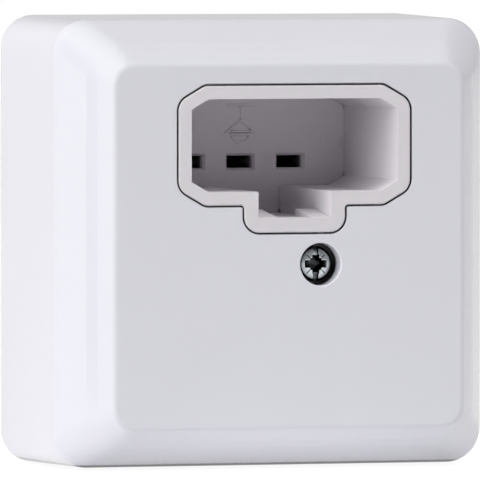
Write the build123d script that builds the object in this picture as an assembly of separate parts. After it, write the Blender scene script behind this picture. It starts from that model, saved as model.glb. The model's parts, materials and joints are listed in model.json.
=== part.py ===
from build123d import *
import math
import os

# Surface-mounted lamp outlet: a deep hood over a socket body with a keyed well.
# Millimetres. The wall or ceiling face is the plane Y = 0 and the front looks
# towards -Y. +Z is up as the outlet hangs on a wall, and +X is to the right.
# A depth is measured from the hood's front face towards the wall.

# Hood
hood_size = 84.0
hood_draft = 0.47
hood_depth = 47.5
hood_wall = 2.2
hood_corner_radius = 6.4
bevel_width = 7.75
bevel_depth = 13.0
bevel_round = 4.0
break_share = 0.647
break_bulge = 0.48
break_flat = 1.4
face_drop = 0.4
face_corner_radius = 4.4
face_edge_round = 1.3
hood_front_wall = 2.6
rib_width = 1.4
rib_height = 1.8
rib_spacing = 38.0
breakout_width = 16.0
breakout_height = 11.0
breakout_skin = 1.0

# Clearances
insert_gap = 0.3
loose_gap = 0.3
seat_gap = 0.1

# Socket body
socket_x = 1.05
socket_margin = 4.1
insert_width = 45.45
insert_height = 22.4
insert_cut_width = 5.2
insert_cut_height = 3.0
insert_side_radius = 3.0
insert_top_radius = 2.0
key_width = 19.8
key_drop = 16.35
key_foot_radius = 3.0
key_neck_radius = 0.7
rim_width = 2.5
key_rim_width = 2.75
rim_depth = 3.5
rim_step = 0.8
rim_edge_cut = 0.25
well_depth = 32.0
well_draft = 0.25
floor_thickness = 2.0
flange_height = 15.0
flange_reach = 6.0
flange_corner_radius = 2.5
ear_margin = 0.6

# Pin slots in the well's floor
slot_pitch = 9.9
slot_x = 0.35
slot_drop = 3.9
slot_width = 5.0
slot_height = 2.35
lead_in_margin = 0.45
lead_in_depth = 0.7

# Ramps that a plug's latch rides over in the keyway
ramp_length = 10.2
ramp_rise = 1.35
ramp_gap = 6.6

# Contact carrier
carrier_back_thickness = 1.0
carrier_margin = 2.4
carrier_top_margin = 3.0
terminal_drop = 12.2
terminal_block_front = 31.0
terminal_block_margin = 2.2
block_corner_radius = 1.5
wire_hole_radius = 1.9

# Contacts
sheet = 0.6
strip_width = 3.8
leaf_width = 4.6
leaf_clearance = 0.6
leaf_throat_share = 0.3
leaf_pinch = 1.4
leaf_mouth = 3.0
strip_jog = 3.2
jog_run = 1.0
bend_radius = 0.9

# Terminals
clamp_width = 7.2
clamp_height = 6.4
clamp_wall = 0.8
clamp_front_wall = 1.6
clamp_front_gap = 4.5
terminal_head_radius = 2.7
terminal_head_height = 1.9
terminal_lift = 1.6
terminal_thread_radius = 1.5
thread_depth = 0.3
drive_slot_width = 0.8
drive_slot_depth = 1.0

# Cover screw, its bush and its retaining washer
screw_x = 6.12
screw_drop = 6.0
screw_hole_radius = 4.0
cut_out_edge = 0.2
screw_boss_radius = 5.4
screw_shelf_depth = 5.2
screw_shelf_thickness = 2.0
cover_head_radius = 3.35
cover_head_height = 2.2
head_edge_cut = 0.5
cover_thread_radius = 1.75
cover_screw_length = 25.0
cross_width = 1.15
cross_length = 3.6
cross_depth = 1.5
cross_tip_length = 2.0
cross_tip_width = 0.7
cover_slot_width = 0.95
cover_slot_depth = 0.6
retainer_radius = 3.4
retainer_thickness = 0.8
bush_wall = 1.0
bush_length = 8.0
bush_collar = 0.5
bush_collar_length = 1.2
pillar_wall = 1.5
pillar_front = 20.0

# Base plate
base_thickness = 2.5
upstand_height = 4.0
upstand_wall = 1.6
fixing_spacing = 60.0
fixing_slot_radius = 2.25
fixing_slot_length = 9.0
cable_entry_radius = 6.0
cable_entry_inset = 16.5
cable_collar_wall = 1.4
cable_collar_height = 2.0
boss_radius = 3.2
flange_screw_head_radius = 2.9
flange_screw_head_height = 2.0
screw_end_gap = 1.0
flange_hole_radius = 1.9

# Places that follow from the sizes above
hood_back_half = hood_size / 2 + hood_draft
plate_front = hood_depth - base_thickness
base_half = hood_back_half - hood_wall - loose_gap
bevel_turn = math.atan2(bevel_width, bevel_depth)
rib_tip = hood_back_half - hood_wall - rib_height
upstand_half = rib_tip - loose_gap
face_top = hood_size / 2 - bevel_width - face_drop
socket_z = face_top - socket_margin - insert_height / 2
floor_back = well_depth + floor_thickness
carrier_front = floor_back
carrier_back_face = plate_front - carrier_back_thickness
flange_front = well_depth
socket_top = socket_z + insert_height / 2
socket_bottom = socket_z - insert_height / 2
key_bottom = socket_z - key_drop
slot_z = socket_z - slot_drop
screw_z = key_bottom - screw_drop
terminal_z = screw_z - terminal_drop
cable_entry_reach = hood_back_half - cable_entry_inset
flange_half = insert_width / 2 + flange_reach
flange_screw_x = flange_half - flange_screw_head_radius - ear_margin
slot_places = [slot_x - slot_pitch, slot_x, slot_x + slot_pitch]
contact_names = ["line", "earth", "neutral"]
clamp_front = terminal_block_front + clamp_front_gap
clamp_back = carrier_back_face
strip_back = clamp_back - clamp_wall
strip_front = strip_back - sheet
leaf_front = floor_back + leaf_clearance
head_under = screw_shelf_depth
retainer_front = screw_shelf_depth + screw_shelf_thickness + seat_gap
bush_radius = cover_thread_radius + bush_wall
pillar_radius = bush_radius + loose_gap + pillar_wall
pillar_hole_radius = pillar_radius + loose_gap


def plane_at(depth):
    """The plane at a depth behind the hood's front face; its up is +Z."""
    return Plane.XZ.offset(hood_depth - depth)


def slab(sketch, start, end):
    """A sketch made solid from one depth to another."""
    return extrude(plane_at(start) * sketch, amount=start - end)


def rod(x, z, radius, start, end):
    """A round rod along the depth direction."""
    return slab(Pos(x, z) * Circle(radius), start, end)


def insert_outline():
    """Outline of the socket body's rim: a flattened octagon with a key below."""
    half = insert_width / 2
    right = [
        (key_width / 2, key_bottom, key_foot_radius),
        (key_width / 2, socket_bottom, key_neck_radius),
        (half - insert_cut_width, socket_bottom, insert_top_radius),
        (half, socket_bottom + insert_cut_height, insert_side_radius),
        (half, socket_top - insert_cut_height, insert_side_radius),
        (half - insert_cut_width, socket_top, insert_top_radius),
    ]
    left = [(-x, z, radius) for x, z, radius in reversed(right)]
    corners = right + left
    points = [(socket_x + x, z) for x, z, radius in corners]
    return make_face(FilletPolyline(*points, radius=[radius for x, z, radius in corners], close=True))


def well_octagon(inset):
    """The well's opening, inset from the rim's outer edge."""
    half = insert_width / 2 - inset
    top = socket_top - inset
    bottom = socket_bottom + inset
    slant = math.atan2(insert_cut_height, insert_cut_width)
    cut_width = insert_cut_width - inset * (1 - math.tan(slant / 2))
    cut_height = insert_cut_height - inset * (1 - math.tan(math.pi / 4 - slant / 2))
    right = [
        (half - cut_width, bottom),
        (half, bottom + cut_height),
        (half, top - cut_height),
        (half - cut_width, top),
    ]
    left = [(-x, z) for x, z in reversed(right)]
    return make_face(Polyline(*[(socket_x + x, z) for x, z in right + left], close=True))


def key_rectangle(inset):
    """The keyway's opening, from its foot up into the well."""
    width = key_width - 2 * inset
    foot = key_bottom + inset
    height = socket_z - foot
    return Pos(socket_x, foot + height / 2) * Rectangle(width, height)


def bevel_profile():
    """Half widths, depths and drops of the hood's levels from the crease to the face."""
    inset = bevel_width * break_share - break_bulge * math.cos(bevel_turn)
    depth = bevel_depth * (1 - break_share) - break_bulge * math.sin(bevel_turn)
    crease = Vector(hood_size / 2, bevel_depth, 0)
    middle = Vector(hood_size / 2 - inset, depth, face_drop * break_share)
    face = Vector(hood_size / 2 - bevel_width, 0, face_drop)
    before = middle + (crease - middle).normalized() * break_flat
    after = middle + (face - middle).normalized() * break_flat
    return crease, before, after, face


def slanting_block(near, far, corner):
    """A block whose four sides pass through two levels, rounded at its corners."""
    body = slab(Rectangle(3 * hood_size, 3 * hood_size), 0, hood_depth)
    for quarter in range(4):
        turn = quarter * math.pi / 2
        outward = Vector(math.cos(turn), 0, math.sin(turn))
        along = Vector(-math.sin(turn), 0, math.cos(turn))
        places = []
        for half, depth, drop in (near, far):
            places.append(outward * (half - drop * outward.Z) + Vector(0, depth - hood_depth, 0))
        outer_side = Plane(places[0], x_dir=along, z_dir=along.cross(places[1] - places[0]))
        body = split(body, outer_side, keep=Keep.BOTTOM)
    lean = math.atan2(math.sqrt(2) * (near.X - far.X), near.Y - far.Y)
    stretch = 1 / math.cos(lean)
    radius = corner * (math.sqrt(2) - 1) / (math.sqrt(1 + stretch**2) - stretch)
    slanting = body.edges().filter_by(lambda edge: abs((edge @ 1).Y - (edge @ 0).Y) > bevel_depth)
    return fillet(slanting, radius)


def soften(body, depth, radius):
    """Round the edge that runs round the body at a depth."""
    place = depth - hood_depth
    straight = body.edges().filter_by(GeomType.LINE)
    return fillet(straight.filter_by(lambda edge: abs(edge.center().Y - place) < break_bulge / 10), radius)


def hood_outside():
    """Drafted walls and a bevel of two flats with a narrow one between them."""
    back = Vector(hood_back_half, hood_depth, 0)
    crease, before, after, face = bevel_profile()
    body = slanting_block(back, crease, hood_corner_radius)
    body &= slanting_block(crease, before, hood_corner_radius)
    body &= slanting_block(before, after, (hood_corner_radius + face_corner_radius) / 2)
    body &= slanting_block(after, face, face_corner_radius)
    body = soften(body, bevel_depth, bevel_round)
    return soften(body, 0, face_edge_round)


def hood_hollow(inset, front, radius):
    """The hood's form moved in from its walls and its face, without the bulge."""
    face_inset = bevel_width * (1 - front / bevel_depth) + inset / math.cos(bevel_turn)
    back = Vector(hood_back_half - inset, hood_depth, 0)
    crease = Vector(hood_size / 2 - inset, bevel_depth + inset * math.tan(bevel_turn / 2), 0)
    face = Vector(hood_size / 2 - face_inset, front, face_drop)
    body = slanting_block(back, crease, radius) & slanting_block(crease, face, radius)
    return body & slab(Rectangle(2 * hood_size, 2 * hood_size), front, hood_depth)


def hood_ribs():
    """Ribs inside the walls that bear on the base plate and centre the hood."""
    ribs = Part()
    start = bevel_depth + hood_wall
    reach = hood_back_half - rib_tip
    for quarter in range(4):
        for side in (-1, 1):
            place = Rot(0, 0, 90 * quarter) * Pos(rib_tip + reach / 2, side * rib_spacing / 2)
            ribs += slab(place * Rectangle(reach, rib_width), start, plate_front)
    return ribs & hood_hollow(hood_wall / 2, hood_front_wall / 2, hood_corner_radius - hood_wall / 2)


def breakout(side):
    """A thinned panel inside the top or bottom wall, to be cut out for a surface cable."""
    skin_half = hood_back_half - breakout_skin
    panel = Pos(0, side * (skin_half - hood_wall / 2)) * Rectangle(breakout_width, hood_wall)
    return slab(panel, hood_depth - breakout_height, hood_depth)


def make_cover():
    """The moulded hood with its cut-out, screw well, ribs and breakouts."""
    cover = hood_outside() - hood_hollow(hood_wall, hood_front_wall, hood_corner_radius - hood_wall)
    cover += hood_ribs()
    boss_end = screw_shelf_depth + screw_shelf_thickness
    cover += rod(screw_x, screw_z, screw_boss_radius, hood_front_wall / 2, boss_end)
    cover -= rod(screw_x, screw_z, screw_hole_radius, 0, screw_shelf_depth)
    cover -= rod(screw_x, screw_z, cover_thread_radius + loose_gap, screw_shelf_depth, boss_end)
    cut_out = offset(insert_outline(), amount=insert_gap)
    cover -= slab(cut_out, 0, hood_front_wall)
    for side in (-1, 1):
        cover -= breakout(side)
    front = cover.faces().filter_by(Axis.Y).sort_by(Axis.Y)[0]
    return chamfer([edge for wire in front.inner_wires() for edge in wire.edges()], cut_out_edge)


def pin_slots():
    """The slots through the well's floor, each with a flared mouth."""
    cutters = Part()
    for x in slot_places:
        flare = 2 * lead_in_margin
        mouth = Pos(x, slot_z) * Rectangle(slot_width + flare, slot_height + flare)
        throat = Pos(x, slot_z) * Rectangle(slot_width, slot_height)
        funnel = [plane_at(well_depth) * mouth, plane_at(well_depth + lead_in_depth) * throat]
        cutters += loft(funnel, ruled=True)
        cutters += slab(throat, well_depth, floor_back)
    return cutters


def latch_ramps():
    """Two low ramps on the keyway's foot, either side of a gap."""
    foot = key_bottom + key_rim_width
    root = foot - key_rim_width / 2
    crest = foot + ramp_rise
    profile = Polyline((0, root), (0, foot), (ramp_length, crest), (ramp_length, root), close=True)
    opening = key_width - 2 * key_rim_width
    width = (opening - ramp_gap) / 2 + well_draft
    ramps = Part()
    for side in (-1, 1):
        centre = socket_x + side * (ramp_gap / 2 + width / 2)
        upright = Plane(origin=(centre, -hood_depth, 0), x_dir=(0, 1, 0), z_dir=(1, 0, 0))
        ramps += extrude(upright * make_face(profile), amount=width / 2, both=True)
    return ramps


def flange():
    """Ears behind the well, by which the body is screwed down."""
    plate = Pos(socket_x, socket_z) * RectangleRounded(2 * flange_half, flange_height, flange_corner_radius)
    return slab(plate, flange_front, floor_back)


def make_socket_body():
    """The white moulding: rim, well, keyway, slotted floor and ears."""
    rim = slab(insert_outline(), 0, rim_depth)
    front_edges = rim.faces().sort_by(Axis.Y)[0].edges()
    body = chamfer(front_edges, rim_edge_cut)
    body += slab(offset(insert_outline(), amount=-rim_step), rim_depth, floor_back)
    body += flange()
    mouth = plane_at(0) * well_octagon(rim_width)
    floor = plane_at(well_depth) * well_octagon(rim_width + well_draft)
    body -= loft([mouth, floor], ruled=True)
    body -= slab(key_rectangle(key_rim_width), 0, well_depth)
    body += latch_ramps()
    body -= pin_slots()
    for side in (-1, 1):
        x = socket_x + side * flange_screw_x
        body -= rod(x, socket_z, flange_hole_radius, flange_front, floor_back)
    return body


def strip_path(index):
    """Centre line of a contact's strip, led round the pillar where it must be."""
    x = slot_places[index]
    reach = pillar_hole_radius + strip_width / 2
    if abs(x - screw_x) > reach + loose_gap:
        return [(x, slot_z), (x, terminal_z - clamp_height / 2)]
    jog = math.copysign(strip_jog, x - screw_x)
    upper = screw_z + reach
    lower = screw_z - reach
    return [
        (x, slot_z),
        (x, upper + jog_run / 2),
        (x + jog, upper - jog_run / 2),
        (x + jog, lower + jog_run / 2),
        (x, lower - jog_run / 2),
        (x, terminal_z - clamp_height / 2),
    ]


def strip_outline(index, width):
    """The strip's flat outline, of a given width."""
    return trace(Polyline(*strip_path(index)), line_width=width)


def make_contact(index):
    """A fork of two sprung leaves on a flat strip that runs to the terminal."""
    x = slot_places[index]
    throat = leaf_front + (strip_front - leaf_front) * leaf_throat_share
    upper = [
        (leaf_front, leaf_mouth / 2),
        (throat, leaf_pinch / 2),
        (strip_front - sheet, leaf_mouth / 2 + sheet),
    ]
    leaves = Part()
    for side in (-1, 1):
        line = [(depth - hood_depth, slot_z + side * height) for depth, height in upper]
        foot = (strip_front + sheet / 2 - hood_depth, slot_z + side * (leaf_mouth / 2 + sheet))
        profile = trace(FilletPolyline(*line, foot, radius=bend_radius), line_width=sheet)
        section = Plane(origin=(x, 0, 0), x_dir=(0, 1, 0), z_dir=(1, 0, 0)) * profile
        leaves += extrude(section, amount=leaf_width / 2, both=True)
    pad_height = leaf_mouth + 3 * sheet
    strip = slab(Pos(x, slot_z) * Rectangle(leaf_width, pad_height), strip_front, strip_back)
    strip += slab(strip_outline(index, strip_width), strip_front, strip_back)
    return leaves + strip


def make_clamp(index):
    """A terminal cage, open above and below, with a threaded front wall."""
    place = Pos(slot_places[index], terminal_z)
    cage = slab(place * Rectangle(clamp_width, clamp_height), clamp_front, clamp_back)
    inner_width = clamp_width - 2 * clamp_wall
    hollow = place * Rectangle(inner_width, clamp_height)
    cage -= slab(hollow, clamp_front + clamp_front_wall, strip_back)
    return cage - rod(slot_places[index], terminal_z, terminal_thread_radius, clamp_front, strip_front)


def make_terminal_screw(index):
    """A slotted terminal screw, backed off a little from its cage."""
    x = slot_places[index]
    under = clamp_front - terminal_lift
    top = under - terminal_head_height
    core = terminal_thread_radius - thread_depth
    screw = rod(x, terminal_z, terminal_head_radius, top, under)
    screw += rod(x, terminal_z, core, under, strip_front - terminal_lift)
    groove = Pos(x, terminal_z) * Rectangle(2 * terminal_head_radius, drive_slot_width)
    return screw - slab(groove, top, top + drive_slot_depth)


def carrier_outline():
    """Outline of the carrier: a wide head behind the well and a narrower foot."""
    head_width = insert_width - 2 * carrier_margin
    head_top = socket_top - carrier_top_margin
    head_bottom = slot_z - leaf_mouth - carrier_top_margin
    head_height = head_top - head_bottom
    head = Pos(socket_x, head_top - head_height / 2) * Rectangle(head_width, head_height)
    foot_half = slot_pitch + clamp_width / 2 + loose_gap + terminal_block_margin
    foot_bottom = terminal_z - clamp_height / 2 - loose_gap - terminal_block_margin
    foot = Pos(slot_x, (head_top + foot_bottom) / 2) * Rectangle(2 * foot_half, head_top - foot_bottom)
    return head + foot


def terminal_block_outline():
    """Outline of the raised block round the terminals."""
    half = slot_pitch + clamp_width / 2 + loose_gap + terminal_block_margin
    height = clamp_height + 2 * (loose_gap + terminal_block_margin)
    return Pos(slot_x, terminal_z) * RectangleRounded(2 * half, height, block_corner_radius)


def make_contact_carrier():
    """The insulating block with a pocket for each contact and terminal."""
    carrier = slab(carrier_outline(), carrier_front, carrier_back_face)
    carrier += slab(terminal_block_outline(), terminal_block_front, carrier_back_face)
    carrier -= rod(screw_x, screw_z, pillar_hole_radius, terminal_block_front, carrier_back_face)
    for index, x in enumerate(slot_places):
        fork = Rectangle(leaf_width + 2 * loose_gap, leaf_mouth + 3 * sheet + 2 * loose_gap)
        carrier -= slab(Pos(x, slot_z) * fork, carrier_front, carrier_back_face)
        channel = strip_outline(index, strip_width + 2 * loose_gap)
        carrier -= slab(channel, strip_front - loose_gap, carrier_back_face)
        cage = Rectangle(clamp_width + 2 * loose_gap, clamp_height + 2 * loose_gap)
        carrier -= slab(Pos(x, terminal_z) * cage, clamp_front, carrier_back_face)
        guide = terminal_head_radius + loose_gap
        carrier -= rod(x, terminal_z, guide, terminal_block_front, clamp_front)
        wire_depth = (clamp_front + clamp_front_wall + strip_front) / 2
        way_in = Plane(origin=(x, wire_depth - hood_depth, terminal_z), z_dir=(0, 0, -1))
        entry = way_in * Circle(wire_hole_radius)
        carrier -= extrude(entry, amount=clamp_height + 2 * terminal_block_margin)
    return carrier


def make_carrier_back():
    """The thin plate that closes the carrier's pockets towards the wall."""
    plate = slab(carrier_outline(), carrier_back_face, plate_front)
    return plate - rod(screw_x, screw_z, pillar_hole_radius, carrier_back_face, plate_front)


def make_flange_screw(side):
    """A pan-head screw through an ear of the socket body into its boss."""
    x = socket_x + side * flange_screw_x
    top = flange_front - flange_screw_head_height
    screw = rod(x, socket_z, flange_screw_head_radius, top, flange_front)
    core = terminal_thread_radius - thread_depth
    screw += rod(x, socket_z, core, flange_front, plate_front - screw_end_gap)
    groove = Pos(x, socket_z) * Rectangle(2 * flange_screw_head_radius, drive_slot_width)
    return screw - slab(groove, top, top + drive_slot_depth)


def make_cover_screw():
    """The cover screw: pan head with a cross and a slot, and a plain core."""
    top = head_under - cover_head_height
    core = cover_thread_radius - thread_depth
    head = rod(screw_x, screw_z, cover_head_radius, top, head_under)
    head = chamfer(head.faces().sort_by(Axis.Y)[0].edges(), head_edge_cut)
    place = Pos(screw_x, screw_z)
    for angle in (0, 90):
        arm = place * Rot(0, 0, angle) * Rectangle(cross_length, cross_width)
        tip = place * Rot(0, 0, angle) * Rectangle(cross_tip_length, cross_tip_width)
        head -= loft([plane_at(top) * arm, plane_at(top + cross_depth) * tip], ruled=True)
    groove = place * Rectangle(cover_slot_width, 2 * cover_head_radius)
    head -= slab(groove, top, top + cover_slot_depth)
    return head + rod(screw_x, screw_z, core, head_under, head_under + cover_screw_length)


def make_screw_retainer():
    """Washer that keeps the cover screw in the hood when it is undone."""
    washer = rod(screw_x, screw_z, retainer_radius, retainer_front, retainer_front + retainer_thickness)
    hole = cover_thread_radius
    return washer - rod(screw_x, screw_z, hole, retainer_front, retainer_front + retainer_thickness)


def make_cover_bush():
    """Threaded brass bush with a collar, pressed into the pillar."""
    end = pillar_front + bush_length
    front = pillar_front - bush_collar_length
    bush = rod(screw_x, screw_z, bush_radius, pillar_front, end)
    bush += rod(screw_x, screw_z, bush_radius + bush_collar, front, pillar_front)
    return bush - rod(screw_x, screw_z, cover_thread_radius, front, end)


def pillar():
    """The pillar for the cover screw, bored for its bush and the screw's end."""
    post = rod(screw_x, screw_z, pillar_radius, pillar_front, plate_front)
    post -= rod(screw_x, screw_z, bush_radius, pillar_front, pillar_front + bush_length)
    end = head_under + cover_screw_length + cover_thread_radius
    return post - rod(screw_x, screw_z, cover_thread_radius + loose_gap, pillar_front, end)


def make_base_plate():
    """The back plate with its upstand, bosses, pillar, slots and cable entry."""
    inner_radius = hood_corner_radius - hood_wall - loose_gap
    plate = RectangleRounded(2 * base_half, 2 * base_half, inner_radius)
    base = slab(plate, plate_front, hood_depth)
    ring = RectangleRounded(2 * upstand_half, 2 * upstand_half, inner_radius)
    inner = 2 * (upstand_half - upstand_wall)
    ring -= RectangleRounded(inner, inner, inner_radius - upstand_wall)
    base += slab(ring, plate_front - upstand_height, plate_front)
    base += pillar()
    for side in (-1, 1):
        x = socket_x + side * flange_screw_x
        base += rod(x, socket_z, boss_radius, floor_back, plate_front)
        base -= rod(x, socket_z, terminal_thread_radius, floor_back, plate_front)
        fixing_slot = SlotOverall(fixing_slot_length, 2 * fixing_slot_radius)
        base -= slab(Pos(side * fixing_spacing / 2, 0) * fixing_slot, plate_front, hood_depth)
    collar_radius = cable_entry_radius + cable_collar_wall
    collar_front = plate_front - cable_collar_height
    base += rod(-cable_entry_reach, -cable_entry_reach, collar_radius, collar_front, plate_front)
    return base - rod(-cable_entry_reach, -cable_entry_reach, cable_entry_radius, collar_front, hood_depth)


def save(name, shape):
    """One STEP file for one piece."""
    solids = shape.solids()
    if len(solids) != 1:
        print(name, "has", len(solids), "solids")
    shape.label = name
    export_step(shape, os.path.join("parts", name + ".step"))


os.makedirs("parts", exist_ok=True)
save("cover", make_cover())
save("cover_screw", make_cover_screw())
save("screw_retainer", make_screw_retainer())
save("cover_bush", make_cover_bush())
save("socket_body", make_socket_body())
save("contact_carrier", make_contact_carrier())
save("carrier_back", make_carrier_back())
save("base_plate", make_base_plate())
for number, contact_name in enumerate(contact_names):
    save("contact_" + contact_name, make_contact(number))
    save("clamp_" + contact_name, make_clamp(number))
    save("terminal_screw_" + contact_name, make_terminal_screw(number))
save("socket_screw_left", make_flange_screw(-1))
save("socket_screw_right", make_flange_screw(1))
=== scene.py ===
import json
import math

import bpy
import bmesh
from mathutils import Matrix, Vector


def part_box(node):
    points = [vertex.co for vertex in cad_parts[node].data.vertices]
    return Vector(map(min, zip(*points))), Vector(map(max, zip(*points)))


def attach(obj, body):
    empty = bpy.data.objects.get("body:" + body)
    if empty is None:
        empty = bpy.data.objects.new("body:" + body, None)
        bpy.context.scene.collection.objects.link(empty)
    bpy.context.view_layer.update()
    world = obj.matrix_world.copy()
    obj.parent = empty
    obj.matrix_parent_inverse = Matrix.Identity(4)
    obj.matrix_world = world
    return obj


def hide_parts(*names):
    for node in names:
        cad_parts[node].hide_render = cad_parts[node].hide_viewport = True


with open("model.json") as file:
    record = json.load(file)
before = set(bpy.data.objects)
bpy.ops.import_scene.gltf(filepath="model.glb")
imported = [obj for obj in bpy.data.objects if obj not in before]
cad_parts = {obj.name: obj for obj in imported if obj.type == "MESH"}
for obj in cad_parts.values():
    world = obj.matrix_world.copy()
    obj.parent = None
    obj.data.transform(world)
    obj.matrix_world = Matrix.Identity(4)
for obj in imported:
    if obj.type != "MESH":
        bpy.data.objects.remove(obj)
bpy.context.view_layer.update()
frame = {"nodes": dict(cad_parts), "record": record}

# The photograph's frame and the camera that fits the hood's outline in it
IMAGE_SIZE = 480
VIEW_YAW = math.radians(17.53)
VIEW_PITCH = math.radians(1.91)
FOCAL_PIXELS = 11778.0
PIXELS_PER_METRE = 5310.0
SENSOR_WIDTH = 36.0
CLIP_END = 20.0
HOOD_CENTRE_PIXEL = (265.52, 241.78)
HOOD_CENTRE = Vector((0.0, -0.0325, 0.0))

# Moulded plastics: colour, roughness, strength and scale of the skin's grain, and how open
# a spot is when painted shade starts to darken it
PLASTICS = {
    "hood_white": ((0.808, 0.804, 0.863), 0.10, 0.02, 900.0, 0.94),
    "socket_white": ((0.80, 0.768, 0.802), 0.45, 0.2, 7000.0, 0.6),
    "carrier_grey": ((0.26, 0.27, 0.28), 0.5, 0.3, 6000.0, 0.6),
    "base_white": ((0.76, 0.76, 0.77), 0.5, 0.3, 6000.0, 0.6),
    "retainer_nylon": ((0.72, 0.70, 0.63), 0.5, 0.2, 6000.0, 0.6),
}
MOTTLE = 0.012
MOTTLE_SCALE = 60.0
MOTTLE_DETAIL = 3.0
GLOSS_SPREAD = 0.08
GRAIN_DETAIL = 2.0
GRAIN_DEPTH = 0.00002
PLASTIC_IOR = 1.5

# Metals: colour, roughness, and the reach and darkest tone of the shade painted into their recesses
METALS = {
    "zinc_steel": ((0.62, 0.66, 0.69), 0.16, 0.0030, 0.004),
    "contact_brass": ((0.55, 0.38, 0.16), 0.34, 0.006, 0.02),
}
STREAK_SCALE = 900.0
STREAK_DETAIL = 4.0
STREAK_TONE = 0.86
STREAK_GLOSS = (0.7, 1.4)
METAL_OPEN_SHARE = 0.82

# Painted shade in narrow gaps and recesses
PAINTED_SHADE_REACH = 0.0013
PAINTED_SHADE_TONE = 0.02
PAINTED_SHADE_SOFTNESS = 0.4
PAINTED_SHADE_SAMPLES = 12

# Screws: the head's height, the radius of core and crest, the pitch, and whether the recess
# is a cross
COVER_SCREW = (0.0022, 0.00145, 0.00172, 0.0006, True)
TERMINAL_SCREW = (0.0019, 0.0012, 0.00147, 0.0005, False)
SOCKET_SCREW = (0.0020, 0.0012, 0.00147, 0.0008, False)
SCREWS = {
    "cover_screw": COVER_SCREW,
    "terminal_screw_line": TERMINAL_SCREW,
    "terminal_screw_earth": TERMINAL_SCREW,
    "terminal_screw_neutral": TERMINAL_SCREW,
    "socket_screw_left": SOCKET_SCREW,
    "socket_screw_right": SOCKET_SCREW,
}
LATHE_SEGMENTS = 96
HEAD_CROWN = 0.05
HEAD_ROUND = 0.2
HEAD_BREAK = 0.0001
CROWN_STEPS = 5
ROUND_STEPS = 8
TIP_LENGTH = 0.5
TIP_RADIUS = 0.6
EDGE_BREAK = 0.00005
BREAK_ANGLE = math.radians(32)
SMOOTH_ANGLE = math.radians(35)
THREAD_SEGMENTS = 24
THREAD_ROOT = 0.99
THREAD_FLANK = 0.42

# Recesses: cross, slot and ticks of the cover screw, and the plain slot of the others
CUTTER_RISE = 0.001
CROSS_WIDTH = 0.00140
CROSS_LENGTH_X = 0.0044
CROSS_LENGTH_Z = 0.0038
CROSS_INNER = 0.00112
CROSS_TAPER = 0.62
CROSS_DEPTH_SHARE = 0.95
SLOT_REACH = 2.4
SLOT_WIDTH = 0.00108
SLOT_DEPTH = 0.0008
TICK_PLACE = 0.0021
TICK_LENGTH = 0.0009
TICK_WIDTH = 0.00018
TICK_DEPTH = 0.00030
PLAIN_SLOT_WIDTH = 0.0008
PLAIN_SLOT_DEPTH = 0.001

# Marks on the well's floor, as pixels of the photograph
WELL_FLOOR_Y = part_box("socket_body")[0].y + 0.032
SIGN_LINE = 0.00062
SIGN_HEIGHT = 0.00032
SIGN_LINES = (
    (((226.8, 105.2), (254.4, 105.2)), False),
    (((241.0, 106.4), (241.0, 118.8)), False),
    (((241.0, 120.2), (227.0, 131.6), (254.2, 131.4)), True),
)
SIGN_BOWL = ((231.6, 134.2), (249.6, 134.2), 142.2)
BOWL_STEPS = 16
EJECTOR_PIXEL = (330.9, 141.3)
EJECTOR_RADIUS = 10.0
EJECTOR_STEPS = 48
EJECTOR_LINE = SIGN_LINE * 0.8
EJECTOR_HEIGHT = SIGN_HEIGHT * 0.35
MITRE_LIMIT = 0.35
STROKE_PROFILE = ((-0.5, -0.3), (-0.3, 1.0), (0.3, 1.0), (0.5, -0.3))

# Floor: white to the camera, and to other rays a glow that is painted light from below
BASE_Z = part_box("cover")[0].z
FLOOR_SIZE = 6.0
FLOOR_GAP = 0.0001
FLOOR_COLOUR = (0.78, 0.78, 0.79, 1.0)
# How strongly the floor glows to rays other than the camera's: painted light from below, stronger near
# the object
FLOOR_GLOW = 0.10
NEAR_GLOW = 0.22
NEAR_REACH = (0.042, 0.060)
SEEN_COLOUR = (0.22, 0.22, 0.22, 1.0)
SEEN_GLOW = 0.93

# Light: the gloss surroundings by their turn round the object, the black card and the lamps,
# each with its place, target, width, height and power
LEFT_TONE = 1.0
GLOSS_BLUE = 1.01
GLOSS_TONES = (
    (-150.0, 1.0),
    (-120.0, 0.35),
    (-60.0, 0.35),
    (-30.0, 0.8),
    (20.0, 0.6),
    (80.0, 0.62),
    (100.0, 1.0),
)
FLAG_CENTRE = Vector((-0.29, -0.0065, 0.11))
FLAG_WIDTH = 0.047
FLAG_HEIGHT = 0.3
FLAG_COLOUR = (0.01, 0.01, 0.01, 1.0)
LIGHTS = {
    "left_front": ((-1.5, -0.60, 0.1), (0.0, -0.60, 0.0), 1.15, 1.4, 31.6),
    "top": ((0.0, -0.45, 1.42), (0.0, 0.0, 0.0), 1.6, 0.8, 15.5),
    "right": ((1.32, -0.70, 0.1), (0.0, 0.0, 0.0), 0.8, 1.2, 7.0),
    "behind": ((0.0, 1.5, 0.0), (0.0, 0.0, 0.0), 0.3, 0.1, 5.0),
}


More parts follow.
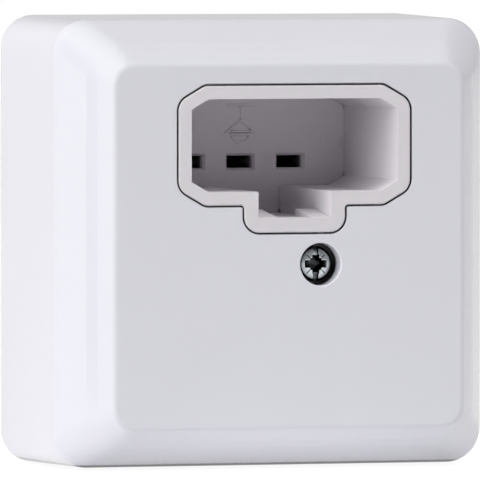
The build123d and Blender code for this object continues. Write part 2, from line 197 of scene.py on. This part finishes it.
def add_camera():
    """A long lens from the left and slightly above."""
    data = bpy.data.cameras.new("camera")
    data.sensor_width = SENSOR_WIDTH
    data.lens = FOCAL_PIXELS / IMAGE_SIZE * SENSOR_WIDTH
    data.clip_end = CLIP_END
    camera = bpy.data.objects.new("camera", data)
    bpy.context.scene.collection.objects.link(camera)
    bpy.context.scene.camera = camera
    forward = Vector((
        math.sin(VIEW_YAW) * math.cos(VIEW_PITCH),
        math.cos(VIEW_YAW) * math.cos(VIEW_PITCH),
        -math.sin(VIEW_PITCH),
    ))
    right = Vector((math.cos(VIEW_YAW), -math.sin(VIEW_YAW), 0.0))
    up = right.cross(forward)
    eye = HOOD_CENTRE - forward * (FOCAL_PIXELS / PIXELS_PER_METRE)
    aside = (HOOD_CENTRE_PIXEL[0] - IMAGE_SIZE / 2) / PIXELS_PER_METRE
    below = (HOOD_CENTRE_PIXEL[1] - IMAGE_SIZE / 2) / PIXELS_PER_METRE
    target = HOOD_CENTRE - right * aside + up * below
    camera.location = eye
    camera.rotation_euler = (target - eye).to_track_quat("-Z", "Y").to_euler()


def new_material(name):
    """A node material with its shader."""
    material = bpy.data.materials.new(name)
    material.use_nodes = True
    return material, material.node_tree, material.node_tree.nodes["Principled BSDF"]


def noise(nodes, links, coords, scale, detail):
    """Noise on a piece's own coordinates."""
    cloud = nodes.new("ShaderNodeTexNoise")
    cloud.inputs["Scale"].default_value = scale
    cloud.inputs["Detail"].default_value = detail
    links.new(coords.outputs["Object"], cloud.inputs["Vector"])
    return cloud.outputs["Fac"]


def spread(nodes, links, value, low, high):
    """A value from 0 to 1, spread between two others."""
    remap = nodes.new("ShaderNodeMapRange")
    remap.inputs["To Min"].default_value = low
    remap.inputs["To Max"].default_value = high
    links.new(value, remap.inputs["Value"])
    return remap.outputs["Result"]


def painted_crevice_shade(nodes, links, reach, darkest_shade, open_share):
    """A factor that falls in narrow gaps and recesses: shade painted into the colour."""
    hollow = nodes.new("ShaderNodeAmbientOcclusion")
    hollow.samples = PAINTED_SHADE_SAMPLES
    hollow.inputs["Distance"].default_value = reach
    tone = nodes.new("ShaderNodeMapRange")
    tone.interpolation_type = "SMOOTHSTEP"
    tone.inputs["From Min"].default_value = open_share - PAINTED_SHADE_SOFTNESS
    tone.inputs["From Max"].default_value = open_share
    tone.inputs["To Min"].default_value = darkest_shade
    tone.inputs["To Max"].default_value = 1.0
    links.new(hollow.outputs["AO"], tone.inputs["Value"])
    return tone.outputs["Result"]


def shaded(nodes, links, shade):
    """A mix that darkens its first colour by a shade."""
    grey = nodes.new("ShaderNodeCombineColor")
    for channel in ("Red", "Green", "Blue"):
        links.new(shade, grey.inputs[channel])
    base = nodes.new("ShaderNodeMix")
    base.data_type = "RGBA"
    base.blend_type = "MULTIPLY"
    base.inputs["Factor"].default_value = 1.0
    links.new(grey.outputs["Color"], base.inputs["B"])
    return base


def moulded_plastic(name, colour, roughness, grain, grain_scale, open_share):
    """Moulded plastic: a faint mottle in colour and gloss, a fine skin, shade painted into crevices."""
    material, tree, shader = new_material(name)
    nodes, links = tree.nodes, tree.links
    coords = nodes.new("ShaderNodeTexCoord")
    cloud = noise(nodes, links, coords, MOTTLE_SCALE, MOTTLE_DETAIL)
    shade = nodes.new("ShaderNodeMath")
    shade.operation = "MULTIPLY"
    links.new(spread(nodes, links, cloud, 1.0 - MOTTLE, 1.0 + MOTTLE), shade.inputs[0])
    # Shade painted into gaps and recesses darkens the colour
    painted_shade = painted_crevice_shade(nodes, links, PAINTED_SHADE_REACH, PAINTED_SHADE_TONE, open_share)
    links.new(painted_shade, shade.inputs[1])
    base = shaded(nodes, links, shade.outputs["Value"])
    base.inputs["A"].default_value = (*colour, 1.0)
    links.new(base.outputs["Result"], shader.inputs["Base Color"])
    glossy = roughness * (1.0 - GLOSS_SPREAD)
    dull = roughness * (1.0 + GLOSS_SPREAD)
    links.new(spread(nodes, links, cloud, glossy, dull), shader.inputs["Roughness"])
    bump = nodes.new("ShaderNodeBump")
    bump.inputs["Strength"].default_value = grain
    bump.inputs["Distance"].default_value = GRAIN_DEPTH
    links.new(noise(nodes, links, coords, grain_scale, GRAIN_DETAIL), bump.inputs["Height"])
    links.new(bump.outputs["Normal"], shader.inputs["Normal"])
    shader.inputs["IOR"].default_value = PLASTIC_IOR
    return material


def metal(name, colour, roughness, reach, darkest_shade):
    """Plated or rolled metal with fine streaks in its gloss, and shade painted into its recesses."""
    material, tree, shader = new_material(name)
    nodes, links = tree.nodes, tree.links
    coords = nodes.new("ShaderNodeTexCoord")
    streaks = noise(nodes, links, coords, STREAK_SCALE, STREAK_DETAIL)
    glossy = roughness * STREAK_GLOSS[0]
    dull = roughness * STREAK_GLOSS[1]
    links.new(spread(nodes, links, streaks, glossy, dull), shader.inputs["Roughness"])
    tone = nodes.new("ShaderNodeValToRGB")
    tone.color_ramp.elements[0].color = (*[c * STREAK_TONE for c in colour], 1.0)
    tone.color_ramp.elements[1].color = (*colour, 1.0)
    links.new(streaks, tone.inputs["Fac"])
    # Shade painted into the recesses darkens the colour
    base = shaded(nodes, links, painted_crevice_shade(nodes, links, reach, darkest_shade, METAL_OPEN_SHARE))
    links.new(tone.outputs["Color"], base.inputs["A"])
    links.new(base.outputs["Result"], shader.inputs["Base Color"])
    shader.inputs["Metallic"].default_value = 1.0
    return material


def add_light(name, place, target, width, height, power):
    """A softbox that faces a target, its width level, and that gloss doesn't show."""
    data = bpy.data.lights.new(name, "AREA")
    data.shape = "RECTANGLE"
    data.size = width
    data.size_y = height
    data.energy = power
    light = bpy.data.objects.new(name, data)
    light.location = place
    light.visible_glossy = False
    light.rotation_euler = (Vector(target) - Vector(place)).to_track_quat("-Z", "Y").to_euler()
    bpy.context.scene.collection.objects.link(light)


def gloss_tone(nodes, links):
    """What gloss reflects by its turn round the object: white at the left, dimmer in front."""
    coords = nodes.new("ShaderNodeTexCoord")
    axes = nodes.new("ShaderNodeSeparateXYZ")
    links.new(coords.outputs["Generated"], axes.inputs["Vector"])
    turn = nodes.new("ShaderNodeMath")
    turn.operation = "ARCTAN2"
    links.new(axes.outputs["Y"], turn.inputs[0])
    links.new(axes.outputs["X"], turn.inputs[1])
    share = nodes.new("ShaderNodeMapRange")
    share.inputs["From Min"].default_value = -math.pi
    share.inputs["From Max"].default_value = math.pi
    links.new(turn.outputs["Value"], share.inputs["Value"])
    ramp = nodes.new("ShaderNodeValToRGB")
    stops = ramp.color_ramp.elements
    for stop, place in ((stops[0], 0.0), (stops[1], 1.0)):
        stop.position = place
        stop.color = (LEFT_TONE, LEFT_TONE, LEFT_TONE, 1.0)
    for degrees, tone in GLOSS_TONES:
        stop = stops.new((degrees + 180.0) / 360.0)
        stop.color = (tone, tone, tone * GLOSS_BLUE, 1.0)
    links.new(share.outputs["Result"], ramp.inputs["Fac"])
    return ramp.outputs["Color"]


def mirrored_ray(nodes, links, path):
    """One for the rays that gloss or clear material sends on."""
    mirrored = nodes.new("ShaderNodeMath")
    mirrored.operation = "MAXIMUM"
    links.new(path.outputs["Is Glossy Ray"], mirrored.inputs[0])
    links.new(path.outputs["Is Transmission Ray"], mirrored.inputs[1])
    return mirrored.outputs["Value"]


def add_world():
    """Surroundings that light nothing: white for the camera, graded for gloss."""
    world = bpy.data.worlds.new("studio")
    bpy.context.scene.world = world
    world.use_nodes = True
    nodes, links = world.node_tree.nodes, world.node_tree.links
    nodes.clear()
    out = nodes.new("ShaderNodeOutputWorld")
    white = nodes.new("ShaderNodeBackground")
    white.inputs["Color"].default_value = (1.0, 1.0, 1.0, 1.0)
    white.inputs["Strength"].default_value = 1.0
    gloss = nodes.new("ShaderNodeBackground")
    gloss.inputs["Strength"].default_value = 1.0
    links.new(gloss_tone(nodes, links), gloss.inputs["Color"])
    path = nodes.new("ShaderNodeLightPath")
    graded = nodes.new("ShaderNodeMixShader")
    links.new(mirrored_ray(nodes, links, path), graded.inputs["Fac"])
    links.new(gloss.outputs["Background"], graded.inputs[2])
    mix = nodes.new("ShaderNodeMixShader")
    links.new(path.outputs["Is Camera Ray"], mix.inputs["Fac"])
    links.new(graded.outputs["Shader"], mix.inputs[1])
    links.new(white.outputs["Background"], mix.inputs[2])
    links.new(mix.outputs["Shader"], out.inputs["Surface"])


def glowing(nodes, links, colour, strength):
    """Matt paint that also glows; a strength that is a socket is linked."""
    matt = nodes.new("ShaderNodeBsdfDiffuse")
    matt.inputs["Color"].default_value = colour
    glow = nodes.new("ShaderNodeEmission")
    if isinstance(strength, float):
        glow.inputs["Strength"].default_value = strength
    else:
        links.new(strength, glow.inputs["Strength"])
    both = nodes.new("ShaderNodeAddShader")
    links.new(matt.outputs["BSDF"], both.inputs[0])
    links.new(glow.outputs["Emission"], both.inputs[1])
    return both.outputs["Shader"]


def floor_glow_strength(nodes, links):
    """How strongly the floor glows: more close to the object, whose foot it brightens."""
    coords = nodes.new("ShaderNodeTexCoord")
    distance = nodes.new("ShaderNodeVectorMath")
    distance.operation = "LENGTH"
    links.new(coords.outputs["Object"], distance.inputs[0])
    near = nodes.new("ShaderNodeMapRange")
    near.interpolation_type = "SMOOTHSTEP"
    near.inputs["From Min"].default_value = NEAR_REACH[0]
    near.inputs["From Max"].default_value = NEAR_REACH[1]
    near.inputs["To Min"].default_value = NEAR_GLOW
    near.inputs["To Max"].default_value = FLOOR_GLOW
    links.new(distance.outputs["Value"], near.inputs["Value"])
    return near.outputs["Result"]


def add_floor():
    """A plain white floor that keeps a faint shadow, and glows to other rays as painted light from
    below.
    """
    bpy.ops.mesh.primitive_plane_add(size=FLOOR_SIZE, location=(0.0, 0.0, BASE_Z - FLOOR_GAP))
    floor = bpy.context.active_object
    floor.name = "floor"
    material = bpy.data.materials.new("floor_white")
    material.use_nodes = True
    nodes, links = material.node_tree.nodes, material.node_tree.links
    nodes.clear()
    out = nodes.new("ShaderNodeOutputMaterial")
    # To other rays the floor glows: painted light from below, stronger close to the object
    glowing_floor = glowing(nodes, links, FLOOR_COLOUR, floor_glow_strength(nodes, links))
    seen = glowing(nodes, links, SEEN_COLOUR, SEEN_GLOW)
    path = nodes.new("ShaderNodeLightPath")
    either = nodes.new("ShaderNodeMath")
    either.operation = "MAXIMUM"
    links.new(path.outputs["Is Camera Ray"], either.inputs[0])
    links.new(mirrored_ray(nodes, links, path), either.inputs[1])
    mix = nodes.new("ShaderNodeMixShader")
    links.new(either.outputs["Value"], mix.inputs["Fac"])
    links.new(glowing_floor, mix.inputs[1])
    links.new(seen, mix.inputs[2])
    links.new(mix.outputs["Shader"], out.inputs["Surface"])
    floor.data.materials.append(material)


def add_flag():
    """A black card beside the object, seen only as the dark band in the bevel's gloss."""
    side = Vector((0.0, FLAG_WIDTH / 2, 0.0))
    rise = Vector((0.0, 0.0, FLAG_HEIGHT / 2))
    low, high = FLAG_CENTRE - rise, FLAG_CENTRE + rise
    flag = mesh_object("flag", [low - side, low + side, high + side, high - side], [(0, 1, 2, 3)])
    material, _, shader = new_material("flag_black")
    shader.inputs["Base Color"].default_value = FLAG_COLOUR
    shader.inputs["Specular IOR Level"].default_value = 0.0
    flag.data.materials.append(material)
    flag.visible_camera = False
    flag.visible_diffuse = False
    flag.visible_shadow = False


def mesh_object(name, verts, faces):
    """A linked object from points and faces, its faces turned outward."""
    mesh = bpy.data.meshes.new(name)
    mesh.from_pydata(verts, [], faces)
    build = bmesh.new()
    build.from_mesh(mesh)
    bmesh.ops.recalc_face_normals(build, faces=build.faces)
    build.to_mesh(mesh)
    build.free()
    piece = bpy.data.objects.new(name, mesh)
    bpy.context.scene.collection.objects.link(piece)
    return piece


def lathe(name, centre, profile):
    """A closed turned form along Y; the profile runs from axis to axis as (radius, y)."""
    verts = [(centre[0], profile[0][1], centre[1])]
    rings = profile[1:-1]
    for radius, y in rings:
        for step in range(LATHE_SEGMENTS):
            angle = 2 * math.pi * step / LATHE_SEGMENTS
            verts.append((centre[0] + radius * math.cos(angle), y, centre[1] + radius * math.sin(angle)))
    verts.append((centre[0], profile[-1][1], centre[1]))
    last = len(verts) - 1
    faces = []
    for step in range(LATHE_SEGMENTS):
        after = (step + 1) % LATHE_SEGMENTS
        faces.append((0, 1 + step, 1 + after))
        for ring in range(len(rings) - 1):
            low = 1 + ring * LATHE_SEGMENTS
            high = low + LATHE_SEGMENTS
            faces.append((low + step, high + step, high + after, low + after))
        low = 1 + (len(rings) - 1) * LATHE_SEGMENTS
        faces.append((low + step, last, low + after))
    return mesh_object(name, verts, faces)


def frustum(name, top, top_y, bottom, bottom_y):
    """A closed tapered prism between two outlines of equal count."""
    count = len(top)
    verts = [(x, top_y, z) for x, z in top] + [(x, bottom_y, z) for x, z in bottom]
    faces = [tuple(range(count)), tuple(range(2 * count - 1, count - 1, -1))]
    for step in range(count):
        after = (step + 1) % count
        faces.append((step, after, count + after, count + step))
    return mesh_object(name, verts, faces)


def rectangle(centre, width, height, turn=0.0):
    """Corners of a turned rectangle."""
    corners = []
    for right, up in ((-1, -1), (1, -1), (1, 1), (-1, 1)):
        x, z = right * width / 2, up * height / 2
        across = x * math.cos(turn) - z * math.sin(turn)
        along = x * math.sin(turn) + z * math.cos(turn)
        corners.append((centre[0] + across, centre[1] + along))
    return corners


def plus(centre, width, length_x, length_z, inner):
    """Outline of a cross whose inner corners are cut away."""
    half, reach_x, reach_z = width / 2, length_x / 2, length_z / 2
    quarter = [(reach_x, half), (inner, half), (inner, inner), (half, inner), (half, reach_z)]
    points = list(quarter)
    points += [(-x, z) for x, z in reversed(quarter)]
    points += [(-x, -z) for x, z in quarter]
    points += [(x, -z) for x, z in reversed(quarter)]
    return [(centre[0] + x, centre[1] + z) for x, z in points]


def bake_modifiers(piece):
    """Give a piece the mesh that its modifiers make."""
    graph = bpy.context.evaluated_depsgraph_get()
    result = bpy.data.meshes.new_from_object(piece.evaluated_get(graph))
    piece.modifiers.clear()
    piece.data = result


def cut(piece, cutters):
    """Take closed cutters out of a piece."""
    for cutter in cutters:
        tool = piece.modifiers.new("cut", "BOOLEAN")
        tool.operation = "DIFFERENCE"
        tool.solver = "EXACT"
        tool.object = cutter
    bake_modifiers(piece)
    for cutter in cutters:
        bpy.data.objects.remove(cutter)


def soften_edges(piece):
    """Break the sharp edges of a piece and shade the rest smooth."""
    edge = piece.modifiers.new("edge", "BEVEL")
    edge.width = EDGE_BREAK
    edge.segments = 2
    edge.limit_method = "ANGLE"
    edge.angle_limit = BREAK_ANGLE
    bake_modifiers(piece)
    piece.data.shade_smooth()
    piece.data.set_sharp_from_angle(angle=SMOOTH_ANGLE)


def thread(name, centre, core, crest, start, end, pitch):
    """A helical ridge round a screw's core, fading at both ends."""
    turns = (end - start - pitch) / pitch
    steps = int(turns * THREAD_SEGMENTS)
    verts, faces = [], []
    for step in range(steps + 1):
        angle = 2 * math.pi * step / THREAD_SEGMENTS
        y = start + pitch / 2 + step * pitch / THREAD_SEGMENTS
        fade = min(1.0, step / THREAD_SEGMENTS, (steps - step) / THREAD_SEGMENTS)
        ridge = core + (crest - core) * fade
        for radius, shift in ((core, -THREAD_FLANK), (ridge, 0.0), (core, THREAD_FLANK)):
            x = centre[0] + radius * math.cos(angle)
            verts.append((x, y + shift * pitch, centre[1] + radius * math.sin(angle)))
    for step in range(steps):
        low = 3 * step
        faces.append((low, low + 3, low + 4, low + 1))
        faces.append((low + 1, low + 4, low + 5, low + 2))
        faces.append((low + 2, low + 5, low + 3, low))
    return mesh_object(name, verts, faces)


def join(target, other):
    """Add another object's mesh to a piece."""
    build = bmesh.new()
    build.from_mesh(target.data)
    build.from_mesh(other.data)
    build.to_mesh(target.data)
    build.free()
    bpy.data.objects.remove(other)


def head_profile(front, radius, height):
    """Profile of a pan head: a low crown, a rounded shoulder and a straight side."""
    crown = radius * HEAD_CROWN
    edge_round = radius * HEAD_ROUND
    flat = radius - edge_round
    points = [(0.0, front)]
    for step in range(1, CROWN_STEPS + 1):
        share = step / CROWN_STEPS
        points.append((flat * share, front + crown * share**2))
    drop = edge_round * 1.1
    for step in range(1, ROUND_STEPS + 1):
        angle = math.pi / 2 * step / ROUND_STEPS
        depth = front + crown + drop * (1 - math.cos(angle))
        points.append((flat + edge_round * math.sin(angle), depth))
    points.append((radius, front + height - HEAD_BREAK))
    points.append((radius - HEAD_BREAK, front + height))
    return points


def cross_cutters(centre, radius, front, head_height):
    """The tapered cross, the slot across the head and the four ticks between the arms."""
    above = front - CUTTER_RISE
    depth = head_height * CROSS_DEPTH_SHARE
    grow = 1.0 + CUTTER_RISE / depth * (1.0 - CROSS_TAPER)
    sizes = (CROSS_WIDTH, CROSS_LENGTH_X, CROSS_LENGTH_Z, CROSS_INNER)
    top = plus(centre, *[size * grow for size in sizes])
    foot = plus(centre, *[size * CROSS_TAPER for size in sizes])
    cutters = [frustum("recess", top, above, foot, front + depth)]
    slot = rectangle(centre, SLOT_WIDTH, SLOT_REACH * radius)
    cutters.append(frustum("slot", slot, above, slot, front + SLOT_DEPTH))
    for quarter in range(4):
        turn = math.pi / 4 + quarter * math.pi / 2
        place = (centre[0] + TICK_PLACE * math.cos(turn), centre[1] + TICK_PLACE * math.sin(turn))
        mark = rectangle(place, TICK_LENGTH, TICK_WIDTH, turn)
        cutters.append(frustum("tick", mark, above, mark, front + TICK_DEPTH))
    return cutters


def slot_cutters(centre, radius, front):
    """The plain slot across a head."""
    slot = rectangle(centre, SLOT_REACH * radius, PLAIN_SLOT_WIDTH)
    return [frustum("slot", slot, front - CUTTER_RISE, slot, front + PLAIN_SLOT_DEPTH)]


def add_screw(node, material, head_height, core, crest, pitch, cross):
    """A screw with its recess and thread, in the place of a plain one."""
    low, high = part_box(node)
    centre = ((low.x + high.x) / 2, (low.z + high.z) / 2)
    radius = (high.x - low.x) / 2
    under = low.y + head_height
    tip = high.y - core * TIP_LENGTH
    profile = head_profile(low.y, radius, head_height)
    profile += [(core, under), (core, tip), (core * TIP_RADIUS, high.y), (0.0, high.y)]
    screw = lathe(node + "_detail", centre, profile)
    if cross:
        cut(screw, cross_cutters(centre, radius, low.y, head_height))
    else:
        cut(screw, slot_cutters(centre, radius, low.y))
    soften_edges(screw)
    root = core * THREAD_ROOT
    join(screw, thread(node + "_thread", centre, root, crest, under + pitch, tip, pitch))
    screw.data.materials.clear()
    screw.data.materials.append(material)
    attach(screw, "root")
    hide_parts(node)


def on_depth(pixel, plane_y):
    """The point of a plane across the depth that a pixel of the photograph shows."""
    camera = bpy.context.scene.camera
    turn = camera.rotation_euler.to_matrix()
    ray = turn @ Vector((pixel[0] - IMAGE_SIZE / 2, IMAGE_SIZE / 2 - pixel[1], -FOCAL_PIXELS))
    return camera.location + ray * ((plane_y - camera.location.y) / ray.y)


def stroke(points, width, height, plane_y, closed):
    """A raised line with slanting sides on a plane across the depth."""
    count = len(points)
    verts, faces = [], []
    for index, point in enumerate(points):
        before = points[index - 1] if closed or index > 0 else point
        after = points[(index + 1) % count] if closed or index < count - 1 else point
        way_in = (point - before).normalized() if point != before else (after - point).normalized()
        way_out = (after - point).normalized() if after != point else way_in
        side_in = Vector((-way_in.z, 0, way_in.x))
        side_out = Vector((-way_out.z, 0, way_out.x))
        mitre = (side_in + side_out).normalized()
        mitre = mitre / max(MITRE_LIMIT, mitre.dot(side_in))
        for offset, rise in STROKE_PROFILE:
            spot = point + mitre * width * offset
            verts.append((spot.x, plane_y - height * rise, spot.z))
    last = count if closed else count - 1
    for index in range(last):
        low = 4 * index
        high = 4 * ((index + 1) % count)
        for step in range(4):
            after = (step + 1) % 4
            faces.append((low + step, low + after, high + after, high + step))
    if not closed:
        faces.append((0, 1, 2, 3))
        faces.append((4 * count - 1, 4 * count - 2, 4 * count - 3, 4 * count - 4))
    return verts, faces


def bowl_line():
    """The sign's half-round bowl, in pixels."""
    left, right, foot = SIGN_BOWL
    middle = ((left[0] + right[0]) / 2, left[1])
    arc = []
    for step in range(BOWL_STEPS + 1):
        angle = math.pi * step / BOWL_STEPS
        across = math.cos(angle) * (right[0] - left[0]) / 2
        arc.append((middle[0] + across, middle[1] + math.sin(angle) * (foot - middle[1])))
    return arc


def ejector_line():
    """The ejector's ring, in pixels."""
    ring = []
    for step in range(EJECTOR_STEPS):
        angle = 2 * math.pi * step / EJECTOR_STEPS
        across = EJECTOR_RADIUS * math.cos(VIEW_YAW) * math.cos(angle)
        ring.append((EJECTOR_PIXEL[0] + across, EJECTOR_PIXEL[1] + EJECTOR_RADIUS * math.sin(angle)))
    return ring


def add_floor_marks(material):
    """The pendant-lamp sign and the ejector's ring, raised on the well's floor."""
    lines = [(line, closed, SIGN_LINE, SIGN_HEIGHT) for line, closed in SIGN_LINES]
    lines.append((bowl_line(), True, SIGN_LINE, SIGN_HEIGHT))
    lines.append((ejector_line(), True, EJECTOR_LINE, EJECTOR_HEIGHT))
    verts, faces = [], []
    for line, closed, width, height in lines:
        points = [on_depth(pixel, WELL_FLOOR_Y) for pixel in line]
        more_verts, more_faces = stroke(points, width, height, WELL_FLOOR_Y, closed)
        start = len(verts)
        verts += more_verts
        faces += [tuple(start + corner for corner in face) for face in more_faces]
    marks = mesh_object("floor_marks", verts, faces)
    marks.data.materials.append(material)
    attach(marks, "root")


def dress_nodes():
    """Materials for the CAD nodes, by the record's slots."""
    finishes = {}
    for name, values in PLASTICS.items():
        finishes[name] = moulded_plastic(name, *values)
    for name, values in METALS.items():
        finishes[name] = metal(name, *values)
    for part in frame["record"]["subparts"]:
        mesh = frame["nodes"][part["node"]].data
        mesh.materials.clear()
        mesh.materials.append(finishes[part["material_slot"]])
        mesh.shade_smooth()
    return finishes


add_camera()
add_world()
add_floor()
add_flag()
finishes = dress_nodes()
for node, sizes in SCREWS.items():
    add_screw(node, finishes["zinc_steel"], *sizes)
add_floor_marks(finishes["socket_white"])
for light_name, values in LIGHTS.items():
    add_light(light_name, *values)

bpy.context.scene.view_settings.view_transform = "Standard"
